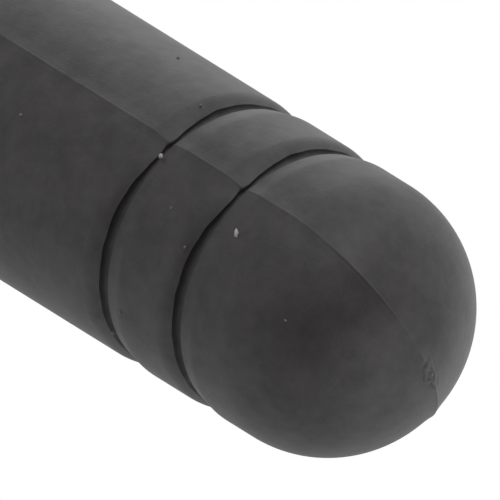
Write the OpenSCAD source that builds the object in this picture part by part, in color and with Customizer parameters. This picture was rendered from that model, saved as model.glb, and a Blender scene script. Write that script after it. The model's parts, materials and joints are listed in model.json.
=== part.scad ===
// Tilt-and-swivel dipole antenna with a reverse-polarity coaxial plug, at its real size in millimetres.
// Z runs up the antenna to its tip, and z = 0 is the mouth of the plug's nut.
// The antenna tilts about an axis along Y, towards +X, and swivels about Z on the plug.

/* [Sheath] */
// Overall length, from the nut's mouth to the tip
total_len = 108; // [100:1:140]
// Outer radius at the ring groove nearest the tip
tip_r = 4.0; // [3.8:0.1:4.6]
// Growth of the outer radius for each millimetre towards the base
taper = 0.012; // [0.01:0.0005:0.02]
// Wall around the long bore
sheath_wall = 1.2; // [0.9:0.1:1.4]
// Solid end above the long bore
tip_solid = 7.0; // [6:0.5:12]
// Height of the dome
dome_h = 3.8; // [3:0.1:4.2]
// From the middle of the upper ring groove to the foot of the dome
dome_gap = 1.8; // [1.2:0.1:3]
// Spacing of the two ring grooves
groove_pitch = 3.05; // [2.2:0.05:5]
// Width of a ring groove with its rounded shoulders
groove_w = 1.54; // [1.2:0.02:2]
// Width of a ring groove's narrow core
core_w = 0.54; // [0.4:0.02:0.8]
// Depth of a ring groove's rounded shoulders
shoulder_d = 0.12; // [0.06:0.02:0.2]
// Depth of a ring groove's core below its shoulders
core_d = 0.3; // [0.1:0.05:0.4]
// Radius of the gate mark at the top of the dome
gate_r = 0.3; // [0.2:0.05:0.5]
// Height of the gate mark
gate_h = 0.06; // [0.04:0.02:0.1]

/* [Tilt hinge] */
// Radius of the fork's barrel and of the collar above the hinge
barrel_r = 4.8; // [4.6:0.1:5.2]
// Radius of the tongue's disc
tongue_r = 3.6; // [3.4:0.1:3.8]
// Thickness of the tongue
tongue_t = 4.4; // [4:0.2:4.8]
// Gap on each side of the tongue
cheek_gap = 0.1; // [0.05:0.05:0.2]
// Gap that the tongue keeps to its two stops
stop_gap = 0.1; // [0.05:0.05:0.2]
// Radius of the pivot pins
pin_r = 1.2; // [1:0.1:1.3]
// Depth of a pivot pin's outer end below the barrel
pin_recess = 0.3; // [0.2:0.1:0.6]
// Chamfer on the pins' ends
pin_chamfer = 0.1; // [0.05:0.05:0.3]
// How far the ears' round tops reach beyond the barrel's radius
ear_reach = 0.1; // [0:0.1:0.4]
// How far the ball that rounds the ears' outer sides reaches beyond the barrel's radius
crown_reach = 1; // [0.8:0.1:1.5]
// Gap between the ears' tops and the collar
ear_gap = 0.4; // [0.3:0.1:0.8]
// Height of the collar between hinge and sheath
collar_h = 1.2; // [0.8:0.2:3]
// Radius of the spigot in the sheath
spigot_r = 3.7; // [3.4:0.05:3.75]
// Length of the spigot
spigot_len = 10.6; // [8:0.2:16]
// Wall of the spigot around its cored-out middle, which the dipole's lower tube can enter
spigot_wall = 0.85; // [0.7:0.05:0.9]
// Width of a retaining groove round the spigot
barb_w = 1.2; // [0.8:0.1:1.6]
// Depth of a retaining groove round the spigot
barb_d = 0.35; // [0.2:0.05:0.5]
// Radius of the cable's bend as the hinge opens
bend_r = 4.0; // [3.5:0.1:4.5]
// Room beside the cable where it bends
fan_gap = 0.1; // [0.05:0.05:0.2]
// Room behind the cable where it bends
fan_back = 0.4; // [0.3:0.05:0.6]

/* [Swivel] */
// Length of the swivel bearing in the fork
bearing_len = 3.85; // [3.6:0.05:5]
// Radius of the plug's swivel shank
shank_r = 2.9; // [2.8:0.05:3]
// Depth of the snap groove round the shank
snap_d = 0.3; // [0.2:0.05:0.4]
// Width of the snap groove
snap_w = 0.9; // [0.7:0.1:1.1]
// Radial clearance of a part that turns
run_gap = 0.05; // [0.02:0.01:0.08]
// Gap between the plug's flange and the fork
swivel_gap = 0.1; // [0.05:0.05:0.2]
// Gap above the shank's end
shank_end_gap = 0.15; // [0.1:0.05:0.3]
// Wall between the bearing and the track of the stop lug
track_wall = 0.5; // [0.4:0.05:0.6]
// Wall outside the track of the stop lug
foot_wall = 0.4; // [0.3:0.05:0.5]
// Height of the stop lug on the flange
lug_h = 0.6; // [0.4:0.1:0.9]
// Angle that the stop lug covers
lug_deg = 14.5; // [10:0.5:14.5]
// Web between the crimp room and the fork's slot
web_t = 1.3; // [1:0.1:2]

/* [Plug] */
// Thread radius of the nut
thread_r = 3.175; // [3.175:0.005:3.2]
// Chamfer at the nut's mouth
mouth_chamfer = 0.35; // [0.2:0.05:0.4]
// Length of the nut
nut_len = 7.7; // [7.6:0.1:9]
// Width of the nut across its flats
nut_af = 8; // [7.8:0.1:9]
// How far the round end faces of the nut stay inside its flats
nut_face_in = 0.1; // [0.05:0.05:0.3]
// Depth of the plug's reference plane in the nut
ref_z = 3.3; // [3:0.1:3.4]
// Plain ring between the thread's end and the reference plane
thread_end_gap = 0.15; // [0.1:0.05:0.3]
// Depth of the undercut behind the thread
relief_d = 0.225; // [0.2:0.025:0.3]
// Outer radius of the outer contact
contact_ring_r = 2.275; // [2.25:0.005:2.285]
// Radius of the insulator
insulator_r = 2.05; // [2:0.01:2.07]
// From the reference plane to the gasket
contact_ring_len = 1.9; // [1.8:0.05:2]
// Thickness of the gasket
gasket_t = 0.6; // [0.5:0.1:0.8]
// Width of the gasket's ring
gasket_w = 0.6; // [0.4:0.05:0.7]
// Step that the gasket sits on, above the outer contact
seat_step = 0.175; // [0.175:0.025:0.25]
// Radius of the plug body in the nut
body_r = 2.75; // [2.65:0.05:2.8]
// Length of the plug body in front of the snap ring
land_len = 0.6; // [0.5:0.1:0.8]
// Thickness of the snap ring
ring_t = 0.5; // [0.3:0.1:0.5]
// Depth of the snap ring's groove in the plug body
ring_groove_d = 0.45; // [0.3:0.05:0.5]
// Reach of the snap ring beyond the plug body
ring_reach = 0.35; // [0.25:0.05:0.4]
// Clearance round the snap ring in the nut
ring_gap = 0.1; // [0.05:0.05:0.15]
// Split of the snap ring
ring_split = 0.9; // [0.5:0.1:1.5]
// Radius of the plug's flange behind the nut
flange_r = 4.4; // [4.3:0.1:4.7]
// Thickness of the flange
flange_t = 0.8; // [0.6:0.1:1.2]
// Gap between nut and flange
nut_gap = 0.15; // [0.1:0.05:0.3]
// Radius of the centre contact
centre_r = 0.635; // [0.6:0.005:0.65]
// Radius of the centre contact's socket
socket_r = 0.46; // [0.45:0.005:0.48]
// Depth of the socket
socket_len = 2.6; // [2:0.1:3.5]
// Width of the slots that spring the socket
socket_slot = 0.15; // [0.1:0.05:0.2]
// Length of the slots that spring the socket
slot_len = 2.1; // [1.6:0.1:2.4]
// Depth of the insulator behind the reference plane
insulator_len = 6.1; // [5.6:0.1:7]
// Depth of the centre contact's rear end in the insulator
contact_recess = 0.2; // [0.1:0.1:0.4]
// Depth of the centre contact's cup for the cable's core
cup_len = 1.2; // [1:0.1:1.6]

/* [Cable] */
// Radius of the cable's jacket
cable_r = 0.9; // [0.8:0.05:0.95]
// Radius of the cable's core
core_r = 0.15; // [0.12:0.01:0.2]
// Radius of the cable's dielectric
dielectric_r = 0.43; // [0.38:0.01:0.45]
// Thickness of the braid
braid_t = 0.17; // [0.1:0.01:0.2]
// Gap round the cable in the bores it passes
cable_gap = 0.2; // [0.1:0.05:0.25]
// Length of the crimp barrel behind the shank
crimp_len = 2.2; // [1.8:0.1:2.6]
// Length of the crimp ferrule
ferrule_len = 3.0; // [2.8:0.1:3.6]
// Wall of the crimp ferrule
ferrule_wall = 0.45; // [0.3:0.05:0.5]
// Gap between the ferrule's ends and the walls of its room
ferrule_gap = 0.3; // [0.2:0.1:0.5]
// Gap around the ferrule in its room
room_gap = 0.35; // [0.2:0.05:0.5]
// Gap around the dielectric in the crimp barrel
crimp_gap = 0.04; // [0.02:0.01:0.06]
// Bare braid between the crimp barrel and the jacket
braid_bare = 0.5; // [0.3:0.1:0.8]
// How far the braid's end stays inside the ferrule
braid_end = 0.2; // [0.1:0.1:0.5]

/* [Dipole] */
// Length of the dipole's lower tube
sleeve_len = 25; // [20:0.5:30]
// Outer radius of the lower tube
sleeve_r = 2.4; // [2.2:0.1:2.5]
// Wall of the lower tube
sleeve_wall = 0.3; // [0.2:0.05:0.4]
// Length of the dipole's upper tube
radiator_len = 23.5; // [20:0.5:26]
// Outer radius of the upper tube
radiator_r = 0.8; // [0.6:0.05:1]
// Bare dielectric between the two tubes
feed_gap = 1.5; // [1.2:0.1:2]
// Height of the solder fillet on the lower tube
solder_h = 0.6; // [0.4:0.1:0.8]
// Width of the solder fillet on the lower tube
solder_w = 0.8; // [0.5:0.1:1]
// Wall of the shrink sleeve
shrink_wall = 0.2; // [0.1:0.05:0.25]
// Length of the shrink sleeve on the lower tube
shrink_on_sleeve = 4; // [3:0.5:6]
// Length of the shrink sleeve on the upper tube
shrink_on_radiator = 3; // [2:0.5:5]
// Length of the cone of the shrink sleeve above the feed gap
shrink_cone = 1; // [0.6:0.1:2]
// Length of the cable's bare core in the upper tube
core_in = 3; // [2:0.5:5]
// Height of the ring that centres the upper tube
spacer_h = 2.4; // [1.5:0.1:4]
// Gap between the upper tube and the end of the bore
tip_gap = 0.8; // [0.5:0.1:1.5]

/* [Hidden] */
$fn = 96;

black = [0.09, 0.09, 0.09];
gold = [0.83, 0.66, 0.30];
brass = [0.72, 0.60, 0.36];
white = [0.92, 0.92, 0.90];

// Small overlap that makes a cut pass its face
over = 0.5;
// Chamfer on the edges of moulded and turned pieces
edge = 0.25;

// Heights along the plug, from its mouth up
thread_end_z = ref_z - thread_end_gap;
gasket_z = ref_z + contact_ring_len;
shoulder_z = gasket_z + gasket_t;
ring_groove_z = shoulder_z + land_len;
ring_groove_w = ring_t + ring_gap;
ring_z = ring_groove_z + ring_gap / 2;
nut_back_z = ring_groove_z - ring_gap - edge;
flange_z = nut_len + nut_gap;
flange_top_z = flange_z + flange_t;
insulator_top_z = ref_z + insulator_len;
centre_top_z = insulator_top_z - contact_recess;
cup_z = centre_top_z - cup_len;
seat_r = contact_ring_r + seat_step;
ring_r = body_r - ring_groove_d;
ring_outer_r = body_r + ring_reach;
relief_r = thread_r + relief_d;

// Heights along the fork and the hinge
fork_z = flange_top_z + swivel_gap;
shank_top_z = fork_z + bearing_len;
snap_z = fork_z + bearing_len / 3;
crimp_top_z = shank_top_z + crimp_len;
ferrule_z = shank_top_z + ferrule_gap;
ferrule_top_z = ferrule_z + ferrule_len;
ferrule_r = cable_r + ferrule_wall;
room_top_z = ferrule_top_z + ferrule_gap;
room_r = ferrule_r + room_gap;
slot_floor_z = room_top_z + web_t;
pivot_z = slot_floor_z + tongue_r + stop_gap;
ear_r = barrel_r + ear_reach;
collar_z = pivot_z + ear_r + ear_gap;
sheath_z = collar_z + collar_h;
spigot_top_z = sheath_z + spigot_len;
slot_w = tongue_t + 2 * cheek_gap;
cable_bore_r = cable_r + cable_gap;
fan_r = cable_bore_r + fan_gap;
track_in_r = shank_r + run_gap + track_wall;
track_out_r = barrel_r - edge - foot_wall;

// Heights at the tip and along the dipole
dome_top_z = total_len - gate_h;
dome_z = dome_top_z - dome_h;
groove_b_z = dome_z - dome_gap;
groove_a_z = groove_b_z - groove_pitch;
bore_top_z = total_len - tip_solid;
radiator_top_z = bore_top_z - tip_gap;
radiator_z = radiator_top_z - radiator_len;
feed_z = radiator_z - feed_gap;
sleeve_z = feed_z - sleeve_len;
cap_z = feed_z - sleeve_wall;
braid_r = dielectric_r + braid_t;
crimp_r = cable_r - braid_t;
jacket_z = crimp_top_z + braid_bare;
core_top_z = radiator_z + core_in;

// Outer radius of the tapering sheath at height z
function sheath_r(z) = tip_r + taper * (groove_b_z - z);

// Depth of a ring groove at distance s from its middle: smooth shoulders, then a round-bottomed core
function groove_depth(s) =
    let (u = 2 * s / groove_w, v = 2 * s / core_w)
    shoulder_d * pow(max(0, 1 - u * u), 2) + core_d * sqrt(max(0, 1 - v * v));

// Outline of a ring groove at height z: up one shoulder, round the core, down the other shoulder
function groove_points(z, steps = 5) =
    let (shoulder_w = (groove_w - core_w) / 2)
    [for (s = concat([for (i = [0:steps - 1]) shoulder_w * i / steps - groove_w / 2],
                     [for (i = [0:2 * steps]) -core_w / 2 * cos(90 * i / steps)],
                     [for (i = [1:steps]) core_w / 2 + shoulder_w * i / steps]))
        [sheath_r(z + s) - groove_depth(s), z + s]];

// Outline of the dome, a quarter of an ellipse on the sheath's last radius
function dome_points(steps = 20) =
    [for (i = [0:steps])
        let (a = 90 * i / steps)
        [sheath_r(dome_z) * cos(a), dome_z + dome_h * sin(a)]];

// Outline of the spigot's two retaining grooves, shared by the spigot and the sheath around it
function spigot_points() =
    concat([[spigot_r, sheath_z]],
           [for (i = [1, 2])
               let (z = sheath_z + i * spigot_len / 3 - barb_w / 2)
               each [[spigot_r, z], [spigot_r - barb_d, z],
                     [spigot_r - barb_d, z + barb_w], [spigot_r, z + barb_w]]],
           [[spigot_r, spigot_top_z]]);

// Radius of the sheath's long bore at height z
function bore_r(z) = sheath_r(z) - sheath_wall;

// A ring from r1 to r2 between two heights
module ring(r1, r2, z1, z2)
    rotate_extrude() translate([r1, z1]) square([r2 - r1, z2 - z1]);

// The sector of a ring centred on angle mid
module ring_sector(r1, r2, z1, z2, mid, wide)
    rotate([0, 0, mid - wide / 2])
        rotate_extrude(angle = wide) translate([r1, z1]) square([r2 - r1, z2 - z1]);

// A rod along Z with chamfered ends
module chamfered_rod(r, h, c)
    rotate_extrude() polygon([[0, 0], [r - c, 0], [r, c], [r, h - c], [r - c, h], [0, h]]);

// An outline drawn in X and Z, carried through the middle along Y
module across(width)
    rotate([90, 0, 0]) linear_extrude(width, center = true) children();

// Moulded cover: taper, two ring grooves, dome and gate mark outside, a stepped bore inside
module sheath() {
    color(black)
    difference() {
        union() {
            rotate_extrude()
                polygon(concat([[0, sheath_z], [sheath_r(sheath_z) - edge, sheath_z],
                                [sheath_r(sheath_z), sheath_z + edge]],
                               groove_points(groove_a_z), groove_points(groove_b_z), dome_points()));
            translate([0, 0, dome_top_z - gate_h]) cylinder(r = gate_r, h = 2 * gate_h);
        }
        rotate_extrude()
            polygon(concat([[0, sheath_z - over], [spigot_r, sheath_z - over]], spigot_points(),
                           [[bore_r(spigot_top_z), spigot_top_z], [bore_r(bore_top_z), bore_top_z],
                            [0, bore_top_z]]));
        translate([0, 0, dome_top_z]) cylinder(r = gate_r / 2, h = over);
    }
}

// Room that the cable needs in the tongue as it bends from straight up to a right angle
module cable_fan() {
    reach = tongue_r + over;
    back = cable_bore_r + fan_back;
    across(2 * fan_r)
        translate([0, pivot_z])
            difference() {
                translate([-back, -reach]) square([back + bend_r, reach + bend_r]);
                translate([bend_r, bend_r]) circle(bend_r - fan_r);
            }
}

// Hinge half that carries the sheath: tongue, neck, collar and spigot with the cable's way through
module upper_knuckle() {
    color(black)
    difference() {
        union() {
            translate([0, 0, pivot_z]) rotate([90, 0, 0]) cylinder(r = tongue_r, h = tongue_t, center = true);
            translate([-tongue_r, -tongue_t / 2, pivot_z])
                cube([2 * tongue_r, tongue_t, collar_z - pivot_z + edge]);
            rotate_extrude()
                polygon(concat([[0, collar_z], [barrel_r - edge, collar_z], [barrel_r, collar_z + edge],
                                [barrel_r, sheath_z]], spigot_points(), [[0, spigot_top_z]]));
        }
        cable_fan();
        translate([0, 0, pivot_z]) cylinder(r = cable_bore_r, h = spigot_top_z);
        ring(0, spigot_r - barb_d - spigot_wall, sheath_z + spigot_wall, spigot_top_z + over);
        translate([0, 0, pivot_z])
            rotate([90, 0, 0]) cylinder(r = pin_r + run_gap, h = tongue_t + over, center = true);
    }
}

// Outside of the fork: a barrel with a chamfered foot, rounded over the ears in both directions
module fork_outside() {
    top_z = pivot_z + ear_r + over;
    intersection() {
        rotate_extrude()
            intersection() {
                polygon([[0, fork_z], [barrel_r - edge, fork_z], [barrel_r, fork_z + edge],
                         [barrel_r, top_z], [0, top_z]]);
                union() {
                    translate([0, fork_z]) square([barrel_r, pivot_z - fork_z]);
                    translate([0, pivot_z]) circle(barrel_r + crown_reach);
                }
            }
        across(2 * barrel_r + over)
            union() {
                translate([-barrel_r - over, fork_z - over])
                    square([2 * barrel_r + 2 * over, pivot_z - fork_z + over]);
                translate([0, pivot_z]) circle(ear_r);
            }
    }
}

// Bore of the fork's swivel bearing, with the snap rib left standing
module bearing_bore() {
    difference() {
        ring(0, shank_r + run_gap, fork_z - over, shank_top_z + shank_end_gap);
        ring(shank_r - snap_d + run_gap, shank_r + run_gap + over,
             snap_z + run_gap, snap_z + snap_w - run_gap);
    }
}

// Fork: swivel bearing and stop track below, crimp room, and the slot with its two tilt stops
module lower_knuckle() {
    color(black)
    union() {
        difference() {
            fork_outside();
            translate([-tongue_r - stop_gap, -slot_w / 2, slot_floor_z])
                cube([2 * barrel_r, slot_w, 2 * barrel_r]);
            translate([0, 0, pivot_z])
                rotate([90, 0, 0]) cylinder(r = pin_r, h = 3 * barrel_r, center = true);
            bearing_bore();
            ring(track_in_r, track_out_r, fork_z - over, fork_z + lug_h);
            ring(0, room_r, shank_top_z, room_top_z);
            translate([0, 0, shank_top_z]) cylinder(r = cable_bore_r, h = slot_floor_z);
            translate([0, 0, slot_floor_z - over])
                cylinder(r1 = cable_bore_r, r2 = cable_bore_r + 2 * over, h = 2 * over);
        }
        ring_sector(track_in_r - edge, track_out_r + edge, fork_z, fork_z + lug_h + edge, 180, lug_deg);
    }
}

// Short pivot pin on one side, pressed in the ear and ending clear of the cable
module pivot_pin(side) {
    inner_y = fan_r + cheek_gap;
    translate([0, side * inner_y, pivot_z])
        rotate([-90 * side, 0, 0]) chamfered_rod(pin_r, barrel_r - pin_recess - inner_y, pin_chamfer);
}

module pivot_pin_left()
    color(gold) pivot_pin(1);

module pivot_pin_right()
    color(gold) pivot_pin(-1);

// Hexagonal nut: thread at the mouth, undercut behind it, and a back wall with the snap ring's groove
module coupling_nut() {
    corner_r = nut_af / 2 / cos(30);
    face_r = nut_af / 2 - nut_face_in;
    rise = (corner_r - face_r) * tan(30);
    color(gold)
    difference() {
        intersection() {
            cylinder(r = corner_r, h = nut_len, $fn = 6);
            rotate_extrude()
                polygon([[0, 0], [face_r, 0], [corner_r, rise], [corner_r, nut_len - rise],
                         [face_r, nut_len], [0, nut_len]]);
        }
        rotate_extrude()
            polygon([[0, -over], [thread_r + mouth_chamfer + over, -over],
                     [thread_r, mouth_chamfer], [thread_r, thread_end_z], [relief_r, thread_end_z],
                     [relief_r, nut_back_z], [body_r + run_gap, nut_back_z],
                     [body_r + run_gap, ring_z - ring_gap], [ring_outer_r + ring_gap, ring_z - ring_gap],
                     [ring_outer_r + ring_gap, ring_z + ring_t + ring_gap],
                     [body_r + run_gap, ring_z + ring_t + ring_gap],
                     [body_r + run_gap, nut_len + over], [0, nut_len + over]]);
    }
}

// Split ring that sits in the plug body's groove and holds the nut
module snap_ring() {
    color(brass)
    difference() {
        ring(ring_r, ring_outer_r, ring_z, ring_z + ring_t);
        translate([0, -ring_split / 2, ring_z - over]) cube([2 * ring_outer_r, ring_split, ring_t + 2 * over]);
    }
}

module seal_gasket()
    color(black) ring(seat_r, seat_r + gasket_w, gasket_z, shoulder_z);

// Turned plug body: outer contact, gasket seat, land, snap ring groove, flange with the stop lug,
// swivel shank with the snap groove, and crimp barrel
module connector_body() {
    color(gold)
    union() {
        rotate_extrude()
            polygon([[insulator_r, ref_z], [contact_ring_r, ref_z], [contact_ring_r, gasket_z],
                     [seat_r, gasket_z], [seat_r, shoulder_z], [body_r, shoulder_z],
                     [body_r, ring_groove_z], [ring_r, ring_groove_z],
                     [ring_r, ring_groove_z + ring_groove_w], [body_r, ring_groove_z + ring_groove_w],
                     [body_r, flange_z], [flange_r, flange_z], [flange_r, flange_top_z],
                     [shank_r, flange_top_z], [shank_r, snap_z], [shank_r - snap_d, snap_z],
                     [shank_r - snap_d, snap_z + snap_w], [shank_r, snap_z + snap_w],
                     [shank_r, shank_top_z], [crimp_r, shank_top_z], [crimp_r, crimp_top_z],
                     [dielectric_r + crimp_gap, crimp_top_z], [dielectric_r + crimp_gap, insulator_top_z],
                     [insulator_r, insulator_top_z]]);
        ring_sector(track_in_r + run_gap, track_out_r - run_gap, flange_top_z - edge,
                    fork_z + lug_h - swivel_gap, 0, lug_deg);
    }
}

module insulator()
    color(white) ring(centre_r, insulator_r, ref_z, insulator_top_z);

// Socket contact: bored and cross-slotted at the front, drilled behind for the cable's core
module centre_contact() {
    color(gold)
    difference() {
        ring(0, centre_r, ref_z, centre_top_z);
        ring(0, socket_r, ref_z - over, ref_z + socket_len);
        for (turn = [0, 90])
            rotate([0, 0, turn])
                translate([-centre_r - over, -socket_slot / 2, ref_z - over])
                    cube([2 * centre_r + 2 * over, socket_slot, slot_len + over]);
        ring(0, core_r, cup_z, centre_top_z + over);
    }
}

module crimp_ferrule()
    color(brass) ring(cable_r, ferrule_r, ferrule_z, ferrule_top_z);

module coax_jacket()
    color(black) ring(braid_r, cable_r, jacket_z, cap_z - braid_bare);

// Braid: spread over the crimp barrel below, then close round the dielectric up to the dipole
module coax_braid() {
    top_z = feed_z + solder_h;
    color("silver")
    rotate_extrude()
        polygon([[crimp_r, ferrule_z + braid_end], [cable_r, ferrule_z + braid_end],
                 [cable_r, crimp_top_z + braid_end], [braid_r, jacket_z], [braid_r, top_z],
                 [dielectric_r, top_z], [dielectric_r, jacket_z - braid_end], [crimp_r, crimp_top_z]]);
}

module coax_dielectric()
    color(white) ring(core_r, dielectric_r, insulator_top_z + contact_recess, radiator_z);

module coax_core()
    color("silver") ring(0, core_r, cup_z, core_top_z);

// Lower tube of the dipole, closed at its top round the braid
module dipole_sleeve() {
    color(brass)
    difference() {
        ring(0, sleeve_r, sleeve_z, feed_z);
        ring(0, sleeve_r - sleeve_wall, sleeve_z - over, cap_z);
        ring(0, braid_r, sleeve_z, feed_z + over);
    }
}

module sleeve_solder()
    color("silver")
    rotate_extrude()
        polygon([[braid_r, feed_z], [braid_r + solder_w, feed_z],
                 [braid_r + solder_w / 3, feed_z + solder_h / 3], [braid_r, feed_z + solder_h]]);

// Upper tube of the dipole, on the cable's bare core
module upper_radiator() {
    color(brass)
    difference() {
        ring(0, radiator_r, radiator_z, radiator_top_z);
        ring(0, core_r, radiator_z - over, core_top_z);
    }
}

// Shrink sleeve: round the lower tube's end, drawn in over the feed point onto the upper tube
module heat_shrink() {
    neck_z = radiator_z + shrink_cone;
    color(black)
    rotate_extrude()
        polygon([[sleeve_r, feed_z - shrink_on_sleeve], [sleeve_r + shrink_wall, feed_z - shrink_on_sleeve],
                 [sleeve_r + shrink_wall, feed_z + shrink_wall], [radiator_r + shrink_wall, neck_z],
                 [radiator_r + shrink_wall, neck_z + shrink_on_radiator],
                 [radiator_r, neck_z + shrink_on_radiator], [radiator_r, neck_z], [sleeve_r, feed_z]]);
}

module tip_spacer()
    color(white)
    rotate_extrude()
        polygon([[radiator_r, bore_top_z - spacer_h], [bore_r(bore_top_z - spacer_h), bore_top_z - spacer_h],
                 [bore_r(bore_top_z), bore_top_z], [radiator_r, bore_top_z]]);

sheath();
upper_knuckle();
lower_knuckle();
pivot_pin_left();
pivot_pin_right();
coupling_nut();
snap_ring();
seal_gasket();
connector_body();
insulator();
centre_contact();
crimp_ferrule();
coax_jacket();
coax_braid();
coax_dielectric();
coax_core();
dipole_sleeve();
sleeve_solder();
upper_radiator();
heat_shrink();
tip_spacer();
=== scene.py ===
"""Wifi antenna: the looks round its packed solids.

The sheath, the cable's layers, the nut's thread and the dust are surfaces worked out here. Every other piece is a
packed solid with a procedural finish. Lengths are in metres, and +Z runs up the antenna to its tip.
"""

import json
import math

import bpy
import numpy as np
from mathutils import Matrix, Vector


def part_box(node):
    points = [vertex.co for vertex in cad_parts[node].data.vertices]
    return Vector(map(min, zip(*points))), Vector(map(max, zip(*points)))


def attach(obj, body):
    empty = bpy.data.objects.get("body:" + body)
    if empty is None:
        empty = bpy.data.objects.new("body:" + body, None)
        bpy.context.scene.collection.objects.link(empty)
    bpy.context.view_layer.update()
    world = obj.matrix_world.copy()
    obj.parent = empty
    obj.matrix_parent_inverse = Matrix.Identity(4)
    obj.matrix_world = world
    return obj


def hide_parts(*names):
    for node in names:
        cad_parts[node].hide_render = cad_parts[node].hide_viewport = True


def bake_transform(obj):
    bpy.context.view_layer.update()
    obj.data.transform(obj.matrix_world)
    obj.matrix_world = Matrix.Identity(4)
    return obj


bl_info = {
    "name": "Wifi Antenna",
    "version": (1, 0, 0),
    "blender": (4, 5, 0),
    "location": "View3D > Sidebar > Antenna",
    "description": "Sheath, cable, thread and finishes of a tilt-and-swivel wifi antenna",
    "category": "Object",
}

MM = 0.001
PICTURE_SIDE = 500.0  # pixels
SENSOR_WIDTH = 36.0  # millimetres, as a camera's sensor is given

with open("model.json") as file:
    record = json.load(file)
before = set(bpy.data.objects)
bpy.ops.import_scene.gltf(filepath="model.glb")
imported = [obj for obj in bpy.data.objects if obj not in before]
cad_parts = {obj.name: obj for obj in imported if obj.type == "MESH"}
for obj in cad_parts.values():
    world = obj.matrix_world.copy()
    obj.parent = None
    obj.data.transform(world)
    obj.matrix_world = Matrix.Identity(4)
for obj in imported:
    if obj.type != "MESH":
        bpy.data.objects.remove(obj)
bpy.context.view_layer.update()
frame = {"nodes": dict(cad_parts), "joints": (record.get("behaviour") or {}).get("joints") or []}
sheath_low, sheath_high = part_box("sheath")
nut_low, nut_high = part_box("coupling_nut")
tilt_joint = next(j for j in frame["joints"] if j["name"] == "tilt")
PIVOT_Z = tilt_joint["pos_m"][2]


def length(label, what, default, **more):
    """A length in metres that the sidebar shows in the scene's unit."""
    return bpy.props.FloatProperty(
        name=label, description=what, default=default, min=0.0, unit="LENGTH", precision=6, **more
    )


def colour(label, what, default):
    """A colour without alpha, in linear values."""
    return bpy.props.FloatVectorProperty(
        name=label, description=what, default=default, size=3, min=0.0, max=1.0, subtype="COLOR"
    )


def amount(label, what, default, top=1.0):
    """A plain number from 0 up to top."""
    return bpy.props.FloatProperty(name=label, description=what, default=default, min=0.0, max=top)


class AntennaSheathSettings(bpy.types.PropertyGroup):
    """Sizes and finish of the moulded sheath."""

    tip_radius: length("Tip radius", "Outer radius at the ring groove nearest the tip", 4.0 * MM)
    taper: amount("Taper", "Growth of the radius for each unit of length towards the base", 0.012)
    dome_height: length("Dome height", "Height of the dome", 3.8 * MM)
    dome_gap: length("Dome gap", "From the middle of the upper groove to the dome's foot", 1.8 * MM)
    groove_pitch: length("Groove pitch", "Spacing of the two ring grooves", 3.05 * MM)
    groove_width: length("Groove width", "Width of a ring groove with its shoulders", 1.54 * MM)
    shoulder_depth: length("Shoulder depth", "Depth of a ring groove's shoulders", 0.12 * MM)
    slot_width: length("Slot width", "Width of the slot between a ring groove's shoulders", 0.42 * MM)
    slot_top: length("Slot top", "From a ring groove's middle to the slot's edge on the tip side", 0.16 * MM)
    slot_depth: length("Slot depth", "Depth of that slot", 0.2 * MM)
    ramp_width: length("Ramp width", "Width of the ramp down into the slot, on its base side", 0.32 * MM)
    ramp_depth: length("Ramp depth", "Depth of that ramp", 0.06 * MM)
    slot_at_seam: amount("Slot at seam", "Share of the slot's width and depth that is left beside the seam", 0.56)
    full_slot: bpy.props.FloatProperty(
        name="Full slot", description="Angle from the seam at which the slot has its full size",
        default=math.radians(36.0), subtype="ANGLE",
    )
    edge_radius: length("Edge radius", "Rounding of the sheath's lower rim", 0.25 * MM)
    gate_height: length("Gate height", "Height of the gate mark on the dome", 0.04 * MM)
    gate_length: length("Gate length", "Length of the gate mark, along the seam", 0.94 * MM)
    gate_width: length("Gate width", "Width of the gate mark", 0.42 * MM)
    gate_offset: length("Gate offset", "From the axis to the gate mark's middle, along the seam", 0.35 * MM)
    seam_offset: length("Seam offset", "From the axis to the plane where the mould's halves met", 0.1 * MM)
    seam_height: length("Seam height", "Height of the ridge where the mould's halves met", 0.032 * MM)
    seam_width: length("Seam width", "Half width of that ridge", 0.2 * MM)
    flash_height: length("Flash height", "Height of the fine line of flash on the ridge", 0.014 * MM)
    flash_width: length("Flash width", "Half width of the line of flash", 0.035 * MM)
    socket_radius: length("Socket radius", "Radius of the socket for the spigot", 3.7 * MM)
    socket_length: length("Socket length", "Depth of the socket for the spigot", 10.6 * MM)
    rib_width: length("Rib width", "Width of a retaining rib in the socket", 1.2 * MM)
    rib_depth: length("Rib depth", "Height of a retaining rib in the socket", 0.35 * MM)
    wall: length("Wall", "Wall round the long bore", 1.2 * MM)
    tip_solid: length("Tip solid", "Solid end above the long bore", 7.0 * MM)
    rubber: colour("Rubber", "Colour of the moulded sheath", (0.0180, 0.0155, 0.0152))
    lint: colour("Lint", "Colour of the two pale flecks", (0.62, 0.61, 0.58))
    dust: colour("Dust", "Colour of the finer dust", (0.24, 0.23, 0.22))


class AntennaPlugSettings(bpy.types.PropertyGroup):
    """Sizes of the nut's thread, and the finishes of the plug."""

    thread_pitch: length("Thread pitch", "Pitch of the nut's thread", 0.7056 * MM)
    thread_radius: length("Thread radius", "Radius of the thread's root in the nut", 3.175 * MM)
    thread_depth: length("Thread depth", "Height of the thread's turns", 0.34 * MM)
    mouth_chamfer: length("Mouth chamfer", "Chamfer at the nut's mouth", 0.35 * MM)
    thread_end: length("Thread end", "Depth of the thread's end in the nut", 3.15 * MM)
    gold: colour("Gold", "Colour of the gold plating", (0.83, 0.60, 0.24))
    brass: colour("Brass", "Colour of the bare brass", (0.72, 0.53, 0.26))
    tin: colour("Tin", "Colour of the tinned metal", (0.62, 0.61, 0.59))
    insulator: colour("Insulator", "Colour of the white insulator", (0.86, 0.86, 0.83))
    gasket: colour("Gasket", "Colour of the gasket", (0.30, 0.05, 0.04))


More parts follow.
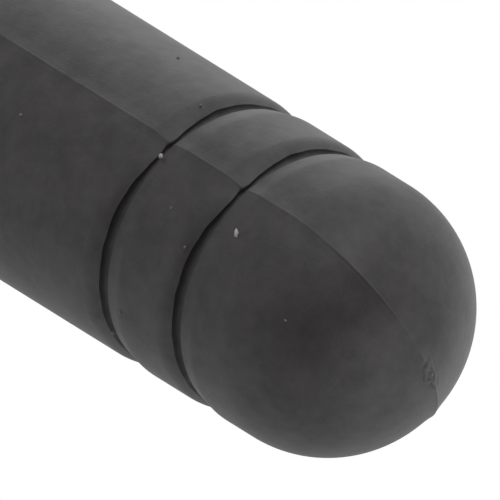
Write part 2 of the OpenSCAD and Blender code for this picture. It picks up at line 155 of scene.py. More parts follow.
class AntennaHingeSettings(bpy.types.PropertyGroup):
    """Finish of the hinge's moulded halves."""

    plastic: colour("Plastic", "Colour of the hinge's halves", (0.020, 0.020, 0.021))


class AntennaCableSettings(bpy.types.PropertyGroup):
    """Sizes and finishes of the thin coaxial cable."""

    jacket_radius: length("Jacket radius", "Outer radius of the jacket", 0.9 * MM)
    braid_radius: length("Braid radius", "Outer radius of the braid", 0.6 * MM)
    dielectric_radius: length("Dielectric radius", "Outer radius of the dielectric", 0.43 * MM)
    core_radius: length("Core radius", "Radius of the core", 0.15 * MM)
    bend_reach: length("Bend reach", "From the tilt axis to each end of the cable's bend", 3.5 * MM)
    jacket: colour("Jacket", "Colour of the jacket", (0.03, 0.03, 0.03))
    dielectric: colour("Dielectric", "Colour of the dielectric", (0.80, 0.80, 0.77))


class AntennaStageSettings(bpy.types.PropertyGroup):
    """Camera, lamps and floor."""

    azimuth: bpy.props.FloatProperty(
        name="Azimuth", description="Camera's direction round Z", default=math.radians(22.2), subtype="ANGLE"
    )
    off_axis: bpy.props.FloatProperty(
        name="Off axis", description="Angle between the camera's view and Z", default=math.radians(48.82),
        subtype="ANGLE",
    )
    roll: bpy.props.FloatProperty(
        name="Roll", description="Slope of Z in the picture, below level", default=math.radians(31.78),
        subtype="ANGLE",
    )
    distance: length("Distance", "Camera to the upper groove's middle, along the view", 220.0 * MM)
    lens: bpy.props.FloatProperty(name="Lens", description="Focal length", default=586.6, unit="CAMERA")
    aim: bpy.props.FloatVectorProperty(
        name="Aim", description="Pixel of the upper groove's middle in the 500 by 500 picture",
        default=(288.2, 284.3), size=2,
    )
    floor: colour("Floor", "Colour of the floor", (0.86, 0.86, 0.86))
    floor_gap: length("Floor gap", "From the nut's mouth down to the floor", 0.05 * MM)
    fade_start: length("Fade start", "Distance from the nut at which the floor starts to fade", 45.0 * MM)
    fade_end: length("Fade end", "Distance from the nut at which the floor has faded out", 95.0 * MM)
    glow: amount("Glow", "White that the floor adds where the camera, gloss or glass sees it", 0.3)
    world_level: amount("World level", "Strength of the even light", 0.22, 4.0)
    lamp_level: amount("Lamp level", "Factor on the radiance of the soft lamps", 1.0, 20.0)
    lamp_size: amount("Lamp size", "Side of each square lamp, as a share of its distance", 0.7)
    lamp_distance: length("Lamp distance", "From each lamp to the tip", 200.0 * MM)
    card: colour("Card", "Colour of the dark card behind the camera", (0.02, 0.02, 0.02))
    card_size: length("Card size", "Side of the dark card behind the camera", 350.0 * MM)
    card_distance: length("Card distance", "From the dark card to the tip", 250.0 * MM)


# Soft lamps round the tip: how far to the picture's right, up, and towards the camera each stands, its radiance, and
# the share of the usual distance at which it stands
LAMPS = {
    "lamp_up_right": (1.0, 1.0, 0.0, 0.55, 1.0),
    "lamp_right_far": (1.0, 0.0, -0.8, 0.38, 1.0),
    "lamp_up_near": (0.0, 1.0, 1.0, 2.0, 1.0),
    "lamp_right_near": (1.0, -1.0, 0.7, 1.8, 1.0),
    "lamp_up_far": (0.0, 1.0, -0.8, 0.73, 0.5),
    "lamp_down_right_far": (1.0, -1.0, -0.8, 0.5, 1.0),
}

# Flakes on the sheath, dust and one pale fleck on the gate mark's rim: angle round Z in degrees, height in
# millimetres, length and width in hundredths of a millimetre, and the turn of the length away from Z in degrees
FLAKES = (
    (6, 99.48, 15, 12, 30),
    (16, 103.3, 26, 12, 50),
    (-42, 96.2, 12, 8, 0),
    (-2, 98.3, 11, 5, 70),
    (21, 94.5, 11, 9, 20),
    (36, 105.9, 8, 6, 0),
    (71, 100.1, 10, 7, 45),
    (86, 99.5, 10, 6, 15),
    (21, 100.9, 8, 6, 60),
    (31, 102.0, 9, 6, 80),
    (-23, 98.8, 8, 5, 40),
    # The pale fleck on the gate mark's rim
    (200, 107.9394, 14, 8, 20),
)

# The first so many flakes are pale lint, and the rest take the grey colour: finer dust, and the fleck on the gate
# mark
LINT_FLAKES = 2

# Radii in metres of the floor's rings, from its edge to its middle
FLOOR_RINGS = (0.14, 0.09, 0.05, 0.02, 0.0)

SETTINGS = {
    "antenna_sheath": AntennaSheathSettings,
    "antenna_plug": AntennaPlugSettings,
    "antenna_hinge": AntennaHingeSettings,
    "antenna_cable": AntennaCableSettings,
    "antenna_stage": AntennaStageSettings,
}


def grid_faces(points, looped=False):
    """Vertices, the vertex of each face corner, and each face's corner count, from a grid of points, rows by columns.

    Neighbouring rows are joined by quads, and each row closes on itself. A looped grid's last row joins its first.
    Otherwise a first or last row whose points all meet becomes one point with a fan.
    """
    rows, columns = points.shape[:2]
    index = np.arange(rows * columns).reshape(rows, columns)
    if looped:
        low, high = index, np.roll(index, -1, axis=0)
    else:
        for end in (0, -1):
            if np.ptp(points[end], axis=0).max() < 1e-9:
                index[end] = index[end, 0]
        low, high = index[:-1], index[1:]
    quads = np.stack([low, np.roll(low, -1, 1), np.roll(high, -1, 1), high], axis=-1).reshape(-1, 4)
    new = quads != np.roll(quads, 1, axis=1)
    corners = new.sum(axis=1)
    kept = corners > 2
    return points.reshape(-1, 3), quads[kept][new[kept]], corners[kept]


def mesh_object(name, *parts):
    """Object from one or more parts that grid_faces made."""
    counts = np.cumsum([0] + [len(part[0]) for part in parts])
    vertices = np.concatenate([part[0] for part in parts])
    loops = np.concatenate([part[1] + count for part, count in zip(parts, counts)])
    corners = np.concatenate([part[2] for part in parts])
    used, loops = np.unique(loops, return_inverse=True)
    mesh = bpy.data.meshes.new(name)
    mesh.vertices.add(len(used))
    mesh.vertices.foreach_set("co", vertices[used].astype(np.float32).ravel())
    mesh.loops.add(len(loops))
    mesh.loops.foreach_set("vertex_index", loops.astype(np.int32).ravel())
    mesh.polygons.add(len(corners))
    mesh.polygons.foreach_set("loop_start", (np.cumsum(corners) - corners).astype(np.int32))
    mesh.polygons.foreach_set("use_smooth", np.ones(len(corners), bool))
    mesh.update(calc_edges=True)
    mesh.validate()
    thing = bpy.data.objects.new(name, mesh)
    bpy.context.scene.collection.objects.link(thing)
    return thing


def revolve(name, radii, heights, columns, looped=False):
    """Surface of revolution round Z: the profile of radii and heights, carried round the angles in columns."""
    ring = np.stack([np.cos(columns), np.sin(columns)], axis=-1)
    points = np.empty((len(radii), len(columns), 3))
    points[..., :2] = radii[:, None, None] * ring[None]
    points[..., 2] = heights[:, None]
    return mesh_object(name, grid_faces(points, looped))


def turns(count):
    """Angles of evenly spaced columns round a full turn."""
    return np.arange(count) * 2 * np.pi / count


def bump(distance, width):
    """Smooth hill: 1 at distance 0, down to nothing a few widths away, as a bell curve."""
    return np.exp(-((distance / width) ** 2))


def sharpen(thing, degrees=35.0):
    """Marks the edges between faces that meet at more than that angle as sharp."""
    thing.data.set_sharp_from_angle(angle=math.radians(degrees))


def material(name):
    """New node material: (material, node tree, its Principled shader)."""
    made = bpy.data.materials.new(name)
    made.use_nodes = True
    tree = made.node_tree
    return made, tree, tree.nodes["Principled BSDF"]


def add(tree, kind, inputs=None, **settings):
    """New node with its settings, and its inputs either set to numbers or linked to other nodes' outputs."""
    node = tree.nodes.new(kind)
    for key, value in settings.items():
        setattr(node, key, value)
    for key, value in (inputs or {}).items():
        put(tree, node.inputs[key], value)
    return node


def put(tree, socket, value):
    """Links an output to the socket, or sets its default to a number or colour."""
    if isinstance(value, bpy.types.NodeSocket):
        tree.links.new(value, socket)
    elif hasattr(value, "__len__") and len(value) == 3 and socket.type == "RGBA":
        socket.default_value = (*value, 1.0)
    else:
        socket.default_value = value


def millimetres(tree, stretch=(1.0, 1.0, 1.0)):
    """Object coordinates in millimetres, stretched along an axis where the pattern is drawn out."""
    coordinates = add(tree, "ShaderNodeTexCoord")
    return add(
        tree, "ShaderNodeMapping",
        {"Vector": coordinates.outputs["Object"], "Scale": tuple(s / MM for s in stretch)},
    ).outputs["Vector"]


def noise(tree, vector, scale, detail=2.0, roughness=0.5):
    """Noise of that many features for each millimetre, from 0 to 1."""
    return add(
        tree, "ShaderNodeTexNoise",
        {"Vector": vector, "Scale": scale, "Detail": detail, "Roughness": roughness},
    ).outputs["Fac"]


def remap(tree, value, low, high, to_low, to_high, smooth=False):
    """Maps low..high to to_low..to_high, and holds the ends."""
    return add(
        tree, "ShaderNodeMapRange",
        {"Value": value, "From Min": low, "From Max": high, "To Min": to_low, "To Max": to_high},
        interpolation_type="SMOOTHSTEP" if smooth else "LINEAR",
    ).outputs["Result"]


def blend_colour(tree, factor, first, second):
    """Colour between first and second. The Mix node's colours are its inputs 6 and 7 and its output 2."""
    node = add(tree, "ShaderNodeMix", data_type="RGBA")
    put(tree, node.inputs[0], factor)
    put(tree, node.inputs[6], first)
    put(tree, node.inputs[7], second)
    return node.outputs[2]


def relief(tree, height, depth, strength=1.0, normal=None):
    """Normal from a height between 0 and 1 that stands for that depth in metres."""
    inputs = {"Height": height, "Distance": depth, "Strength": strength}
    if normal is not None:
        inputs["Normal"] = normal
    return add(tree, "ShaderNodeBump", inputs).outputs["Normal"]


def scaled(rgb, factor):
    """A colour times a factor."""
    return tuple(channel * factor for channel in rgb)


def sheath_finish(settings):
    """Matte moulded rubber: fine grain, soft mottling, and one mould half rougher and darker than the other."""
    made, tree, shader = material("sheath_rubber")
    place = millimetres(tree)
    across = add(tree, "ShaderNodeSeparateXYZ", {"Vector": place}).outputs["Y"]
    seam = -settings.seam_offset / MM
    rough_half = remap(tree, across, seam - 0.05, seam + 0.05, 0.0, 1.0, True)
    grain = noise(tree, place, 11.0, 3.0, 0.65)
    cloud = noise(tree, place, 0.8, 3.0)
    mottle = noise(tree, place, 2.6, 2.0, 0.6)
    pits = noise(tree, place, 24.0, 2.0, 0.6)
    even = blend_colour(tree, remap(tree, cloud, 0.35, 0.65, 0.0, 1.0), scaled(settings.rubber, 0.85),
                        scaled(settings.rubber, 1.2))
    speckled = blend_colour(tree, remap(tree, pits, 0.6, 0.74, 0.0, 0.5), even, scaled(settings.rubber, 3.0))
    put(tree, shader.inputs["Base Color"], blend_colour(tree, rough_half, even, speckled))
    put(tree, shader.inputs["Roughness"], remap(tree, rough_half, 0.0, 1.0, 0.5, 0.6))
    bloom = add(tree, "ShaderNodeMath", {0: cloud, 1: mottle}, operation="ADD").outputs[0]
    put(tree, shader.inputs["Specular IOR Level"], remap(tree, bloom, 0.7, 1.3, 0.49, 0.67))
    soft = relief(tree, mottle, 0.012 * MM, 0.6)
    coarse = relief(tree, grain, 0.011 * MM, 0.6, soft)
    put(tree, shader.inputs["Normal"], relief(tree, pits, 0.008 * MM, 0.5, coarse))
    return made


def moulded_finish(name, rgb, roughness=0.42):
    """Satin moulded plastic: fine spark-eroded grain and slightly uneven gloss."""
    made, tree, shader = material(name)
    place = millimetres(tree)
    grain = noise(tree, place, 9.0, 3.0, 0.6)
    cloud = noise(tree, place, 0.7, 2.0)
    put(tree, shader.inputs["Base Color"],
        blend_colour(tree, remap(tree, cloud, 0.3, 0.7, 0.0, 1.0), scaled(rgb, 0.88), scaled(rgb, 1.18)))
    put(tree, shader.inputs["Roughness"], remap(tree, cloud, 0.3, 0.7, roughness - 0.04, roughness + 0.06))
    rounded = add(tree, "ShaderNodeBevel", {"Radius": 0.06 * MM}, samples=4).outputs["Normal"]
    put(tree, shader.inputs["Normal"], relief(tree, grain, 0.010 * MM, 0.35, rounded))
    return made


def turned_metal(name, rgb, roughness=0.2):
    """Turned metal: fine lathe lines round Z, faint stains and rounded edges."""
    made, tree, shader = material(name)
    place = millimetres(tree, (0.35, 0.35, 9.0))
    lines = noise(tree, place, 4.0, 3.0, 0.7)
    stain = noise(tree, millimetres(tree), 0.4, 3.0)
    put(tree, shader.inputs["Base Color"],
        blend_colour(tree, remap(tree, stain, 0.3, 0.7, 0.0, 1.0), rgb, scaled(rgb, 0.92)))
    put(tree, shader.inputs["Roughness"], remap(tree, stain, 0.3, 0.7, roughness - 0.03, roughness + 0.08))
    shader.inputs["Metallic"].default_value = 1.0
    rounded = add(tree, "ShaderNodeBevel", {"Radius": 0.05 * MM}, samples=4).outputs["Normal"]
    put(tree, shader.inputs["Normal"], relief(tree, lines, 0.003 * MM, 0.6, rounded))
    return made


def waxy_finish(name, rgb):
    """Smooth waxy polymer, slightly translucent, with faint clouds."""
    made, tree, shader = material(name)
    cloud = noise(tree, millimetres(tree), 1.4, 2.0)
    put(tree, shader.inputs["Base Color"],
        blend_colour(tree, remap(tree, cloud, 0.3, 0.7, 0.0, 1.0), scaled(rgb, 0.95), rgb))
    put(tree, shader.inputs["Normal"], relief(tree, noise(tree, millimetres(tree), 12.0), 0.004 * MM, 0.3))
    shader.inputs["Roughness"].default_value = 0.38
    shader.inputs["Subsurface Weight"].default_value = 0.15
    shader.inputs["Subsurface Scale"].default_value = 0.3 * MM
    return made


def foam_finish(name, rgb):
    """Fine closed-cell foam: small round pits, darkened with painted shade."""
    made, tree, shader = material(name)
    cells = add(tree, "ShaderNodeTexVoronoi", {"Vector": millimetres(tree), "Scale": 5.0}).outputs["Distance"]
    # Painted shade: the colour darkens towards each pit's middle, where the relief sinks
    put(tree, shader.inputs["Base Color"],
        blend_colour(tree, remap(tree, cells, 0.0, 0.6, 0.0, 1.0), scaled(rgb, 0.8), rgb))
    put(tree, shader.inputs["Normal"], relief(tree, cells, 0.05 * MM, 0.6))
    shader.inputs["Roughness"].default_value = 0.8
    return made


def braid_finish(name, rgb):
    """Woven tinned wires: two crossing sets of fine helical ridges round Z, with painted shade between them."""
    made, tree, shader = material(name)
    place = add(tree, "ShaderNodeSeparateXYZ", {"Vector": millimetres(tree)})
    angle = add(tree, "ShaderNodeMath", {0: place.outputs["Y"], 1: place.outputs["X"]}, operation="ARCTAN2")
    ridges = []
    for lean in (8.0, -8.0):
        swept = add(tree, "ShaderNodeMath", {0: angle.outputs[0], 1: lean}, operation="MULTIPLY")
        phase = add(
            tree, "ShaderNodeMath", {0: place.outputs["Z"], 1: 9.0, 2: swept.outputs[0]}, operation="MULTIPLY_ADD"
        )
        wave = add(tree, "ShaderNodeMath", {0: phase.outputs[0]}, operation="SINE")
        ridges.append(remap(tree, wave.outputs[0], -1.0, 1.0, 0.0, 1.0))
    woven = add(tree, "ShaderNodeMath", {0: ridges[0], 1: ridges[1]}, operation="MAXIMUM").outputs[0]
    # Painted shade: the colour darkens to about a third between the wires, where the relief sinks
    put(tree, shader.inputs["Base Color"],
        blend_colour(tree, remap(tree, woven, 0.4, 0.9, 0.0, 1.0), scaled(rgb, 0.35), rgb))
    put(tree, shader.inputs["Normal"], relief(tree, woven, 0.03 * MM, 0.8))
    shader.inputs["Metallic"].default_value = 1.0
    shader.inputs["Roughness"].default_value = 0.34
    return made


def dress(node, finish):
    """Gives a packed solid its finish."""
    slots = frame["nodes"][node].data.materials
    slots.clear()
    slots.append(finish)


def finish_piece(piece, body, finish, slot_name, *nodes):
    """Gives a new piece its finish and body, and hides the solids that it stands for."""
    piece.data.materials.append(finish)
    if body:
        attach(piece, body)
    if nodes:
        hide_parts(*nodes)


def sheath_radius(settings, heights):
    """Straight taper: the tip radius at the upper groove, growing towards the base."""
    return settings.tip_radius + settings.taper * (groove_heights(settings)[1] - heights)


def groove_heights(settings):
    """Heights of the two ring grooves' middles, worked out down from the tip."""
    dome_foot = sheath_high.z - settings.gate_height - settings.dome_height
    upper = dome_foot - settings.dome_gap
    return upper - settings.groove_pitch, upper


def slot_share(settings, columns):
    """Share of the slot's full size at each angle round Z.

    It shrinks smoothly towards the seams, gains a little right at them, and wavers slightly everywhere.
    """
    away = np.clip(np.abs(np.sin(columns)) / math.sin(settings.full_slot), 0, 1)
    share = settings.slot_at_seam + (1 - settings.slot_at_seam) * away**2 * (3 - 2 * away)
    waver = 0.02 * np.sin(23 * columns) + 0.015 * np.sin(37 * columns + 1.0)
    gain = 0.14 * bump(np.sin(columns), 0.05)
    return share * (1 + waver) + gain


def groove_offset(settings, offset, share):
    """Moves the rows across a groove so that those of the slot always span it, whatever its width."""
    top, half = settings.slot_top, settings.groove_width / 2
    foot, narrow = top - settings.slot_width, top - settings.slot_width * share
    outside = -half + (offset + half) * (half + narrow) / (half + foot)
    return np.where(offset < foot, outside, np.where(offset < top, top + (offset - top) * share, offset))


def groove_depth(settings, offset, share):
    """Depth of a ring groove at an offset along Z.

    Wide shallow shoulders, and between them a ramp and then a slot, whose floor is round towards the base and steep
    towards the tip.
    """
    shoulder = np.clip(1 - (2 * offset / settings.groove_width) ** 2, 0, None) ** 2
    from_top = np.clip((settings.slot_top - offset) / (settings.slot_width * share), 0, None)
    across = np.clip(1 - 2 * from_top, -1, 1)
    squareness = np.where(across < 0, 3.0, 6.0)
    slot = np.sqrt(1 - np.abs(across) ** squareness)
    before = (from_top - 1) * settings.slot_width * share / settings.ramp_width
    ramp = np.where(before > 0, np.clip(1 - before, 0, 1) ** 2, np.sqrt(1 - np.clip(across, 0, 1) ** 6))
    return settings.shoulder_depth * shoulder + settings.slot_depth * share * slot + settings.ramp_depth * ramp


def groove_offsets(settings):
    """Offsets across a groove: even steps on its shoulders, and in the slot finer ones towards its edges."""
    half = settings.groove_width / 2
    foot = settings.slot_top - settings.slot_width
    return np.concatenate([
        np.linspace(-half, foot, 16)[:-1],
        foot + settings.slot_width * (1 - np.cos(np.linspace(0, np.pi, 32))) / 2,
        np.linspace(settings.slot_top, half, 12)[1:],
    ])


def dome_size(settings):
    """Height of the dome's foot, and its radius there."""
    foot = groove_heights(settings)[1] + settings.dome_gap
    return foot, sheath_radius(settings, foot)


def dome_rise(settings, radii):
    """Height on the dome at a distance from the axis: a quarter of an ellipse."""
    foot, base = dome_size(settings)
    return foot + settings.dome_height * np.sqrt(np.clip(1 - (radii / base) ** 2, 0, 1))


def outer_profile(settings):
    """Radii and heights up the outside, before the grooves are cut: rounded rim, taper and dome, ending on the axis.

    Rows are closest across the grooves, on the dome and, inside the cap at its top, under the gate mark.
    """
    lower, upper = groove_heights(settings)
    half = settings.groove_width / 2
    rim_angle = np.linspace(0, np.pi / 2, 8)
    rim_z = sheath_low.z + settings.edge_radius * (1 - np.cos(rim_angle))
    rim_r = sheath_radius(settings, rim_z) - settings.edge_radius * (1 - np.sin(rim_angle))
    foot, base = dome_size(settings)
    cap = 0.8 * settings.gate_length
    dome_r = np.concatenate([
        base * np.cos(np.linspace(0, np.arccos(cap / base), 54)), np.linspace(cap, 0, 31)[1:]
    ])
    body_z = np.concatenate([
        np.linspace(rim_z[-1], lower - half, 120)[1:-1],
        lower + groove_offsets(settings),
        np.linspace(lower + half, upper - half, 14)[1:-1],
        upper + groove_offsets(settings),
        np.linspace(upper + half, foot, 10)[1:-1],
    ])
    radii = np.concatenate([rim_r, sheath_radius(settings, body_z), dome_r])
    return radii, np.concatenate([rim_z, body_z, dome_rise(settings, dome_r)])


def gate_rise(share):
    """Share of the gate mark's height at a share of its radius: a round rim with a shallow crater inside."""
    crest, spread, crater = 0.74, 0.3, 0.2
    rim = np.clip(1 - ((share - crest) / spread) ** 2, 0, 1)
    return np.where(share < crest, crater + (1 - crater) * rim, rim)


def bore_profile(settings):
    """Radii and heights inside, from the axis at the bore's end, down the bore and the ribbed socket to the rim."""
    bore_top = sheath_high.z - settings.tip_solid
    socket_top = sheath_low.z + settings.socket_length
    bore = sheath_radius(settings, np.array([bore_top, socket_top])) - settings.wall
    socket, rib = settings.socket_radius, settings.socket_radius - settings.rib_depth
    radii, heights = [0.0, *bore, socket], [bore_top, bore_top, socket_top, socket_top]
    for third in (2, 1):
        middle = sheath_low.z + third * settings.socket_length / 3
        high, low = middle + settings.rib_width / 2, middle - settings.rib_width / 2
        radii += [socket, rib, rib, socket]
        heights += [high, high, low, low]
    return np.array([*radii, socket]), np.array([*heights, sheath_low.z])


def seam_columns():
    """Angles round the sheath: even steps, with finer ones close to the two mould seams at 0 and 180 degrees."""
    close = np.radians(np.linspace(-7.5, 7.5, 41))
    wide = np.radians(np.arange(10.0, 171.0, 2.0))
    half = np.concatenate([close, wide])
    return np.concatenate([half, half + np.pi])


def waviness(place, seed):
    """Slow irregular wave from -1 to 1 along a place in metres: three sines with unrelated periods."""
    along = place / MM
    return (np.sin(along * 1.7 + seed) + np.sin(along * 0.61 + 2.1 * seed) + np.sin(along * 4.3 + seed)) / 3


def gate_place(settings):
    """The gate mark's middle, across the axis."""
    return np.array([-settings.gate_offset, -settings.seam_offset])


def cut_grooves(settings, outer_r, outer_z, columns):
    """Radius and height at each row and column of the outside, with the two ring grooves cut.

    Across a groove the rows move along Z, so that those of the slot follow its width, and their radius follows the
    taper less the groove's depth.
    """
    share = slot_share(settings, columns)
    height = np.repeat(outer_z[:, None], len(columns), axis=1)
    depth = np.zeros_like(height)
    for groove in groove_heights(settings):
        rows = np.abs(outer_z - groove) <= settings.groove_width / 2
        offset = groove_offset(settings, (outer_z[rows] - groove)[:, None], share)
        height[rows] = groove + offset
        depth[rows] = groove_depth(settings, offset, share)
    return outer_r[:, None] + settings.taper * (outer_z[:, None] - height) - depth, height


def outward(radius, height, around):
    """Normals of a surface turned round Z: at right angles to the profile's slope, which the rows give."""
    slope_r, slope_z = np.gradient(radius, axis=0), np.gradient(height, axis=0)
    steep = np.hypot(slope_r, slope_z)
    normal = np.concatenate([(slope_z / steep)[..., None] * around, (-slope_r / steep)[..., None]], axis=-1)
    normal[-1] = (0, 0, 1)
    return normal


def seam_rise(settings, points, outer_r, outer_z):
    """Height of the mould seam at each point: a low wide hill with a thin line of flash on it.

    Both are bell curves of the distance from the plane where the mould's halves met. They waver along the seam and
    fade out above the lower rim.
    """
    beside = np.abs(points[..., 1] + settings.seam_offset)
    along = outer_z + outer_r
    hill = settings.seam_height * (1 + 0.3 * waviness(along, 0.7))[:, None] * bump(beside, settings.seam_width)
    flash = settings.flash_height * (1 + 0.5 * waviness(3 * along, 1.9))[:, None]
    fade = np.clip((outer_z - sheath_low.z - 2 * MM) / (3 * MM), 0, 1)
    return (hill + flash * bump(beside, settings.flash_width)) * fade[:, None]


def gate_mark(settings, points):
    """Height of the gate mark at each point of the dome, and the share of the seam that is left there.

    The mark is an oval ring with a shallow crater, and a few waves round it make it uneven. The seam ends at it.
    """
    from_gate = (points[..., :2] - gate_place(settings)) / (0.5 * settings.gate_length, 0.5 * settings.gate_width)
    apart = np.hypot(from_gate[..., 0], from_gate[..., 1])
    bearing = np.arctan2(from_gate[..., 1], from_gate[..., 0])
    uneven = 1 + 0.16 * np.sin(3 * bearing + 0.6) + 0.12 * np.sin(5 * bearing + 2.0)
    rise = settings.gate_height * gate_rise(apart * uneven)
    mark = rise * np.clip(uneven, 0.8, 1)
    mark[-1] = rise[-1].mean()
    return mark, np.clip(3 * apart - 3, 0, 1)


def build_sheath_mesh(settings):
    """The sheath as one closed surface.

    The bore and the outside are profiles turned round Z. On the dome the turned circles shift towards the gate mark
    as they shrink, and their height still follows the dome. The seam and the gate mark stand out along the normals.
    """
    columns = seam_columns()
    around = np.stack([np.cos(columns), np.sin(columns)], axis=-1)
    inner_r, inner_z = bore_profile(settings)
    inside = np.empty((len(inner_r), len(columns), 3))
    inside[..., :2] = inner_r[:, None, None] * around
    inside[..., 2] = inner_z[:, None]

    outer_r, outer_z = outer_profile(settings)
    radius, height = cut_grooves(settings, outer_r, outer_z, columns)
    foot, base = dome_size(settings)
    on_dome = outer_z > foot
    shift = np.where(on_dome, np.clip(1 - outer_r / (0.9 * base), 0, 1) ** 2, 0)
    outside = np.empty((len(outer_r), len(columns), 3))
    outside[..., :2] = radius[..., None] * around + shift[:, None, None] * gate_place(settings)
    reach = np.hypot(outside[..., 0], outside[..., 1])
    outside[..., 2] = np.where(on_dome[:, None], dome_rise(settings, reach), height)

    rise = seam_rise(settings, outside, outer_r, outer_z)
    mark, seam_left = gate_mark(settings, outside[on_dome])
    rise[on_dome] = rise[on_dome] * seam_left + mark
    outside += rise[..., None] * outward(radius, height, around)
    return mesh_object("sheath_skin", grid_faces(np.concatenate([inside, outside])))


class ANTENNA_OT_sheath(bpy.types.Operator):
    """Builds the moulded sheath with its grooves, dome, mould seam and gate mark"""

    bl_idname = "antenna.sheath"
    bl_label = "Build the sheath"

    def execute(self, context):
        settings = context.scene.antenna_sheath
        skin = build_sheath_mesh(settings)
        sharpen(skin, 50.0)
        finish_piece(skin, "whip", sheath_finish(settings), "sheath_rubber", "sheath")
        return {"FINISHED"}


class ANTENNA_OT_thread(bpy.types.Operator):
    """Builds the turns of the nut's inner thread"""

    bl_idname = "antenna.thread"
    bl_label = "Build the nut's thread"

    def execute(self, context):
        """Right-handed helix: a rounded 60 degree tooth carried round Z, sunk into the wall and faded at its ends."""
        settings = context.scene.antenna_plug
        low, high = nut_low.z + settings.mouth_chamfer, nut_low.z + settings.thread_end
        half = settings.thread_pitch / 2
        total = (high - low - 2 * half) / settings.thread_pitch * 2 * np.pi
        angle = np.linspace(0, total, int(total / np.radians(5.0)))
        middle = low + half + settings.thread_pitch * angle / (2 * np.pi)
        fade = np.clip(np.minimum(angle, total - angle) / (np.pi / 2), 0.02, 1) ** 0.5
        tooth_out = np.array([-0.06, 0.0, 0.55, 0.93, 1.0, 1.0, 0.93, 0.55, 0.0, -0.06])
        tooth_z = np.array([-0.96, -0.94, -0.5, -0.2, -0.12, 0.12, 0.2, 0.5, 0.94, 0.96])
        reach = np.where(tooth_out[None] > 0, tooth_out[None] * fade[:, None], tooth_out[None])
        radius = settings.thread_radius - settings.thread_depth * reach
        height = middle[:, None] + half * tooth_z[None]
        points = np.stack([radius * np.cos(angle)[:, None], radius * np.sin(angle)[:, None], height], axis=-1)
        ends = [np.repeat(points[i].mean(axis=0)[None], len(tooth_z), axis=0)[None] for i in (0, -1)]
        points = np.concatenate([ends[0], points, ends[1]])
        thread = mesh_object("nut_thread", grid_faces(points))
        sharpen(thread)
        finish_piece(thread, "nut", turned_metal("gold_thread", settings.gold, 0.24), "gold_plate")
        return {"FINISHED"}


def sleeve_rows(start, end, pivot, reach):
    """Heights from start to end: fine steps where the cable bends, and coarse ones elsewhere."""
    inside = np.linspace(pivot - reach, pivot + reach, 41)
    rows = np.concatenate([[start], inside[(inside > start) & (inside < end)], [end]])
    below = np.linspace(start, rows[1], 8)[1:-1]
    above = np.linspace(rows[-2], end, 24)[1:-1]
    return np.concatenate([rows[:1], below, rows[1:-1], above, rows[-1:]])


def tube(name, inner, outer, start, end, reach, round_end=0.03 * MM):
    """Closed tube or rod round Z with fine rows at the bend, and a slightly smaller radius at its ends."""
    rows = sleeve_rows(start, end, PIVOT_Z, reach)
    outer_r = np.full(len(rows), outer)
    outer_r[[0, -1]] -= round_end
    if inner > 0:
        radii = np.concatenate([outer_r, np.full(len(rows), inner)])
        heights = np.concatenate([rows, rows[::-1]])
        return revolve(name, radii, heights, turns(32), looped=True)
    radii, heights = np.concatenate([[0.0], outer_r, [0.0]]), np.concatenate([rows[:1], rows, rows[-1:]])
    return revolve(name, radii, heights, turns(24))


class ANTENNA_OT_cable(bpy.types.Operator):
    """Builds the coaxial cable's layers, straight, with fine rows round the tilt axis"""

    bl_idname = "antenna.cable"
    bl_label = "Build the cable"

    def execute(self, context):
        cable, plug = context.scene.antenna_cable, context.scene.antenna_plug
        reach = cable.bend_reach
        finishes = {
            "coax_jacket": (moulded_finish("cable_jacket", cable.jacket, 0.35), "cable_jacket"),
            "coax_braid": (braid_finish("cable_braid", plug.tin), "tinned_metal"),
            "coax_dielectric": (waxy_finish("cable_dielectric", cable.dielectric), "clear_dielectric"),
            "coax_core": (turned_metal("cable_core", plug.tin, 0.3), "tinned_metal"),
        }
        sizes = {
            "coax_jacket": (cable.braid_radius, cable.jacket_radius),
            "coax_braid": (cable.dielectric_radius, cable.braid_radius),
            "coax_dielectric": (cable.core_radius, cable.dielectric_radius),
            "coax_core": (0.0, cable.core_radius),
        }
        for node, (inner, outer) in sizes.items():
            low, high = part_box(node)
            if node == "coax_braid":
                layer = self.braid(cable, low.z, high.z)
            else:
                layer = tube(node.replace("coax", "cable"), inner, outer, low.z, high.z, reach)
            sharpen(layer)
            finish, slot_name = finishes[node]
            finish_piece(layer, None, finish, slot_name, node)
            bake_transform(layer)
        return {"FINISHED"}

    def braid(self, cable, low, high):
        """Braid: a thin sleeve, wide over the crimp barrel at its lower end and close round the dielectric above."""
        thick = cable.braid_radius - cable.dielectric_radius
        step = 0.2 * MM
        jacket_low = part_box("coax_jacket")[0].z
        crimp_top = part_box("connector_body")[1].z
        wide = cable.jacket_radius
        rows = sleeve_rows(jacket_low, high, PIVOT_Z, cable.bend_reach)
        outer_r = np.concatenate([[wide, wide], np.full(len(rows), cable.braid_radius)])
        outer_z = np.concatenate([[low, crimp_top + step], rows])
        inner_z = np.concatenate([[low, crimp_top, jacket_low - step], rows[1:]])
        inner_r = np.concatenate([[wide - thick] * 2, np.full(len(rows), cable.dielectric_radius)])
        radii = np.concatenate([outer_r, inner_r[::-1]])
        heights = np.concatenate([outer_z, inner_z[::-1]])
        return revolve("cable_braid", radii, heights, turns(32), looped=True)


class ANTENNA_OT_plug_finish(bpy.types.Operator):
    """Gives the plug's pieces their gold, brass, white and gasket finishes"""

    bl_idname = "antenna.plug_finish"
    bl_label = "Finish the plug"

    def execute(self, context):
        settings = context.scene.antenna_plug
        gold = turned_metal("gold_plate", settings.gold, 0.17)
        brass = turned_metal("bare_brass", settings.brass, 0.26)
        for node in ("coupling_nut", "connector_body", "centre_contact"):
            dress(node, gold)
        for node in ("snap_ring", "crimp_ferrule"):
            dress(node, brass)
        dress("insulator", waxy_finish("white_insulator", settings.insulator))
        dress("seal_gasket", moulded_finish("gasket_rubber", settings.gasket, 0.5))
        return {"FINISHED"}


